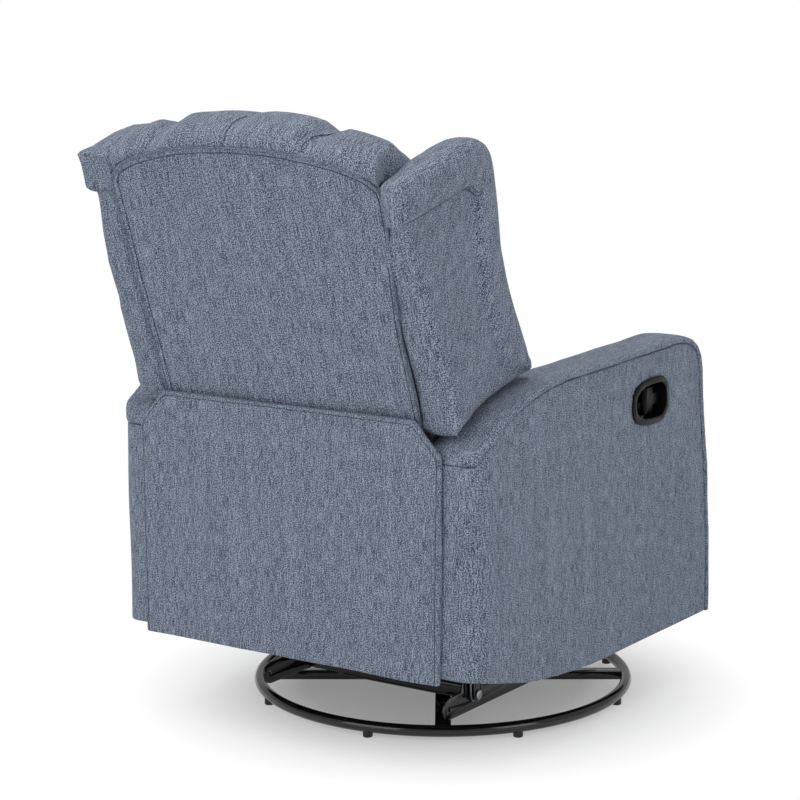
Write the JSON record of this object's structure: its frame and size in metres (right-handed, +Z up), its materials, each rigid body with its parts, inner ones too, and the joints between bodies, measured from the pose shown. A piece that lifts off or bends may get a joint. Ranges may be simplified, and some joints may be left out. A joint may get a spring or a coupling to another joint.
{
  "type": "swivel glider recliner",
  "caption": "Upholstered armchair with padded arms and a winged, button-tufted back that swivels and glides on a round ring base, reclines and raises a footrest.",
  "frame": {"origin": "on the floor, at the centre of the chair's outline seen from above; the swivel axis stands at x 0, y -0.1309 m", "axes": "+Z up, the sitter faces -Y, the pull handle is on the sitter's right at -X"},
  "size_m": [0.738, 0.9458, 1.0633],
  "materials": {
    "blue_grey_fabric": "heathered plain weave over foam",
    "welt_fabric": "heathered plain weave over cord",
    "arm_core": "plywood frame filled out with foam",
    "plywood": "sanded, unfinished",
    "black_steel": "gloss black powder coat",
    "zinc_steel": "zinc plated",
    "black_plastic": "satin moulded"
  },
  "bodies": {
    "base": {"base_ring": "black_steel", "base_cross": "black_steel", "swivel_lower_plate": "black_steel", "swivel_nut_1": "zinc_steel", "swivel_nut_2": "zinc_steel", "swivel_nut_3": "zinc_steel", "swivel_nut_4": "zinc_steel", "bearing_race": "black_plastic"},
    "swivel": {"swivel_upper_plate": "black_steel", "kingpin": "zinc_steel", "glide_cross_tube_rear": "black_steel", "glide_cross_tube_front": "black_steel", "glide_rail_left": "black_steel", "glide_rail_right": "black_steel"},
    "glide_rear": {"glide_link_rear_left": "zinc_steel", "glide_link_rear_right": "zinc_steel"},
    "glide_front": {"glide_link_front_left": "zinc_steel", "glide_link_front_right": "zinc_steel"},
    "chassis": {"chassis_beam_front": "black_steel", "chassis_beam_rear": "black_steel", "chassis_plate_left": "black_steel", "chassis_plate_right": "black_steel", "rear_rail": "plywood", "arm_side_left": "blue_grey_fabric", "arm_side_right": "blue_grey_fabric", "arm_core_left": "arm_core", "arm_core_right": "arm_core", "arm_inner_left": "blue_grey_fabric", "arm_inner_right": "blue_grey_fabric", "arm_band_left": "blue_grey_fabric", "arm_band_right": "blue_grey_fabric", "rear_panel": "blue_grey_fabric", "handle_bezel": "black_plastic"},
    "recline_rear": {"recline_link_rear_left": "black_steel", "recline_link_rear_right": "black_steel"},
    "recline_front": {"recline_link_front_left": "black_steel", "recline_link_front_right": "black_steel"},
    "seat": {"seat_plate_left": "black_steel", "seat_plate_right": "black_steel", "seat_frame": "plywood", "seat_springs": "zinc_steel", "seat_cushion": "blue_grey_fabric"},
    "backrest": {"back_bracket_left": "black_steel", "back_bracket_right": "black_steel", "back_board": "plywood", "outer_back": "blue_grey_fabric", "back_welt_upper": "welt_fabric", "back_welt_lower": "welt_fabric", "inner_back_cushion": "blue_grey_fabric", "wing_left": "blue_grey_fabric", "wing_right": "blue_grey_fabric"},
    "foot_lower": {"foot_link_lower_left": "black_steel", "foot_link_lower_right": "black_steel"},
    "foot_upper": {"foot_link_upper_left": "black_steel", "foot_link_upper_right": "black_steel"},
    "footrest": {"footrest_bracket_left": "black_steel", "footrest_bracket_right": "black_steel", "footrest_board": "plywood", "footrest_pad": "blue_grey_fabric"},
    "handle": {"handle_paddle": "black_plastic"}
  },
  "joints": [
    {"name": "swivel_turn", "type": "hinge", "parent": "base", "child": "swivel", "pos_m": [0, -0.13093, 0.03], "axis": [0, 0, 1], "continuous": true},
    {"name": "glide_rear_swing", "type": "hinge", "parent": "swivel", "child": "glide_rear", "pos_m": [0, 0.06907, 0.16], "axis": [1, 0, 0], "range_deg": [-22, 22]},
    {"name": "chassis_swing", "type": "hinge", "parent": "glide_rear", "child": "chassis", "pos_m": [0, 0.06907, 0.065], "axis": [1, 0, 0], "range_deg": [-23, 23]},
    {"name": "glide_front_swing", "type": "hinge", "parent": "swivel", "child": "glide_front", "pos_m": [0, -0.30093, 0.16], "axis": [1, 0, 0], "range_deg": [-23, 23]},
    {"name": "recline_rear_swing", "type": "hinge", "parent": "chassis", "child": "recline_rear", "pos_m": [0, -0.00093, 0.232], "axis": [1, 0, 0], "range_deg": [0, 34.4]},
    {"name": "seat_swing", "type": "hinge", "parent": "recline_rear", "child": "seat", "pos_m": [0, 0.09153, 0.29159], "axis": [1, 0, 0], "range_deg": [-35.4, 1]},
    {"name": "recline_front_swing", "type": "hinge", "parent": "chassis", "child": "recline_front", "pos_m": [0, -0.30093, 0.232], "axis": [1, 0, 0], "range_deg": [-1, 35.4]},
    {"name": "back_recline", "type": "hinge", "parent": "seat", "child": "backrest", "pos_m": [0, 0.27907, 0.47], "axis": [-1, 0, 0], "range_deg": [-1, 29]},
    {"name": "foot_lower_swing", "type": "hinge", "parent": "seat", "child": "foot_lower", "pos_m": [0, -0.23093, 0.328], "axis": [-1, 0, 0], "range_deg": [0, 85.6]},
    {"name": "foot_upper_swing", "type": "hinge", "parent": "foot_lower", "child": "foot_upper", "pos_m": [0, -0.22507, 0.11808], "axis": [-1, 0, 0], "range_deg": [-112, 1]},
    {"name": "footrest_tilt", "type": "hinge", "parent": "foot_upper", "child": "footrest", "pos_m": [0, -0.37511, 0.26501], "axis": [-1, 0, 0], "range_deg": [-1, 114.5]},
    {"name": "handle_pull", "type": "hinge", "parent": "chassis", "child": "handle", "pos_m": [-0.357, -0.21993, 0.543], "axis": [0, 0, -1], "range_deg": [0, 25], "stiffness_Nm_per_rad": 0.3}
  ],
  "couplings": [
    {"joint": "chassis_swing", "follows": "glide_rear_swing", "ratio": -1},
    {"joint": "glide_front_swing", "follows": "glide_rear_swing", "ratio": 1},
    {"joint": "seat_swing", "follows": "recline_rear_swing", "ratio": -1},
    {"joint": "recline_front_swing", "follows": "recline_rear_swing", "ratio": 1},
    {"joint": "back_recline", "follows": "recline_rear_swing", "ratio": 0.814},
    {"joint": "foot_upper_swing", "follows": "foot_lower_swing", "ratio": -1.2967},
    {"joint": "footrest_tilt", "follows": "foot_lower_swing", "ratio": 1.3248}
  ]
}
